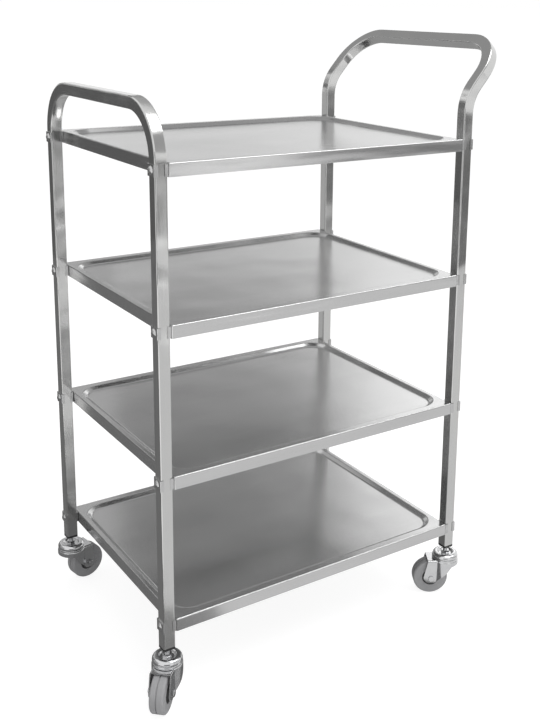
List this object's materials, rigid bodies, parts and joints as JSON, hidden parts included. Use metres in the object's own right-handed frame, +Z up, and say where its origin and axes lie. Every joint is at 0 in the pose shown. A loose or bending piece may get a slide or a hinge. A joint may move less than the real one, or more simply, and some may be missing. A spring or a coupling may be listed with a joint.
{
  "type": "four-tier trolley",
  "caption": "Stainless tray trolley with recessed shelves bolted between bent square-tube end frames, an outward-leaning push handle and swivel casters.",
  "frame": {"origin": "on the floor, under the middle of the whole trolley's box", "axes": "+Z up, +X towards the push handle, -Y towards the long side that faces the viewer"},
  "size_m": [0.892, 0.6344, 1.2827],
  "materials": {
    "tube_steel": "polished",
    "tray_steel": "satin",
    "fastener_steel": "polished",
    "caster_metal": "bright",
    "plug_plastic": "matt",
    "hub_plastic": "matt",
    "tyre": "matt"
  },
  "bodies": {
    "frame": {"left_frame": "tube_steel", "handle_frame": "tube_steel", "shelf_bottom": "tray_steel", "shelf_lower": "tray_steel", "shelf_upper": "tray_steel", "shelf_top": "tray_steel", "left_bolts": "fastener_steel", "left_outer_saddles": "fastener_steel", "left_inner_saddles": "fastener_steel", "left_nuts": "fastener_steel", "right_bolts": "fastener_steel", "right_outer_saddles": "fastener_steel", "right_inner_saddles": "fastener_steel", "right_nuts": "fastener_steel", "leg_plug_front_left": "plug_plastic", "caster_stem_front_left": "caster_metal", "caster_lock_nut_front_left": "caster_metal", "caster_cap_front_left": "caster_metal", "leg_plug_rear_left": "plug_plastic", "caster_stem_rear_left": "caster_metal", "caster_lock_nut_rear_left": "caster_metal", "caster_cap_rear_left": "caster_metal", "leg_plug_front_right": "plug_plastic", "caster_stem_front_right": "caster_metal", "caster_lock_nut_front_right": "caster_metal", "caster_cap_front_right": "caster_metal", "leg_plug_rear_right": "plug_plastic", "caster_stem_rear_right": "caster_metal", "caster_lock_nut_rear_right": "caster_metal", "caster_cap_rear_right": "caster_metal"},
    "caster_front_left": {"caster_fork_front_left": "caster_metal", "caster_balls_front_left": "caster_metal", "axle_bolt_front_left": "caster_metal", "axle_nut_front_left": "caster_metal", "axle_sleeve_front_left": "caster_metal"},
    "wheel_front_left": {"wheel_hub_front_left": "hub_plastic", "wheel_tyre_front_left": "tyre"},
    "caster_rear_left": {"caster_fork_rear_left": "caster_metal", "caster_balls_rear_left": "caster_metal", "axle_bolt_rear_left": "caster_metal", "axle_nut_rear_left": "caster_metal", "axle_sleeve_rear_left": "caster_metal"},
    "wheel_rear_left": {"wheel_hub_rear_left": "hub_plastic", "wheel_tyre_rear_left": "tyre"},
    "caster_front_right": {"caster_fork_front_right": "caster_metal", "caster_balls_front_right": "caster_metal", "axle_bolt_front_right": "caster_metal", "axle_nut_front_right": "caster_metal", "axle_sleeve_front_right": "caster_metal"},
    "wheel_front_right": {"wheel_hub_front_right": "hub_plastic", "wheel_tyre_front_right": "tyre"},
    "caster_rear_right": {"caster_fork_rear_right": "caster_metal", "caster_balls_rear_right": "caster_metal", "axle_bolt_rear_right": "caster_metal", "axle_nut_rear_right": "caster_metal", "axle_sleeve_rear_right": "caster_metal"},
    "wheel_rear_right": {"wheel_hub_rear_right": "hub_plastic", "wheel_tyre_rear_right": "tyre"}
  },
  "joints": [
    {"name": "swivel_front_left", "type": "hinge", "parent": "frame", "child": "caster_front_left", "pos_m": [-0.38535, -0.255, 0.09], "axis": [0, 0, 1], "continuous": true},
    {"name": "spin_front_left", "type": "hinge", "parent": "caster_front_left", "child": "wheel_front_left", "pos_m": [-0.40966, -0.28018, 0.04], "axis": [0.7193, -0.6947, 0], "continuous": true},
    {"name": "swivel_rear_left", "type": "hinge", "parent": "frame", "child": "caster_rear_left", "pos_m": [-0.38535, 0.255, 0.09], "axis": [0, 0, 1], "continuous": true},
    {"name": "spin_rear_left", "type": "hinge", "parent": "caster_rear_left", "child": "wheel_rear_left", "pos_m": [-0.35088, 0.26108, 0.04], "axis": [-0.1736, 0.9848, 0], "continuous": true},
    {"name": "swivel_front_right", "type": "hinge", "parent": "frame", "child": "caster_front_right", "pos_m": [0.32965, -0.255, 0.09], "axis": [0, 0, 1], "continuous": true},
    {"name": "spin_front_right", "type": "hinge", "parent": "caster_front_right", "child": "wheel_front_right", "pos_m": [0.29934, -0.2375, 0.04], "axis": [-0.5, -0.866, 0], "continuous": true},
    {"name": "swivel_rear_right", "type": "hinge", "parent": "frame", "child": "caster_rear_right", "pos_m": [0.32965, 0.255, 0.09], "axis": [0, 0, 1], "continuous": true},
    {"name": "spin_rear_right", "type": "hinge", "parent": "caster_rear_right", "child": "wheel_rear_right", "pos_m": [0.35396, 0.28018, 0.04], "axis": [-0.7193, 0.6947, 0], "continuous": true}
  ]
}
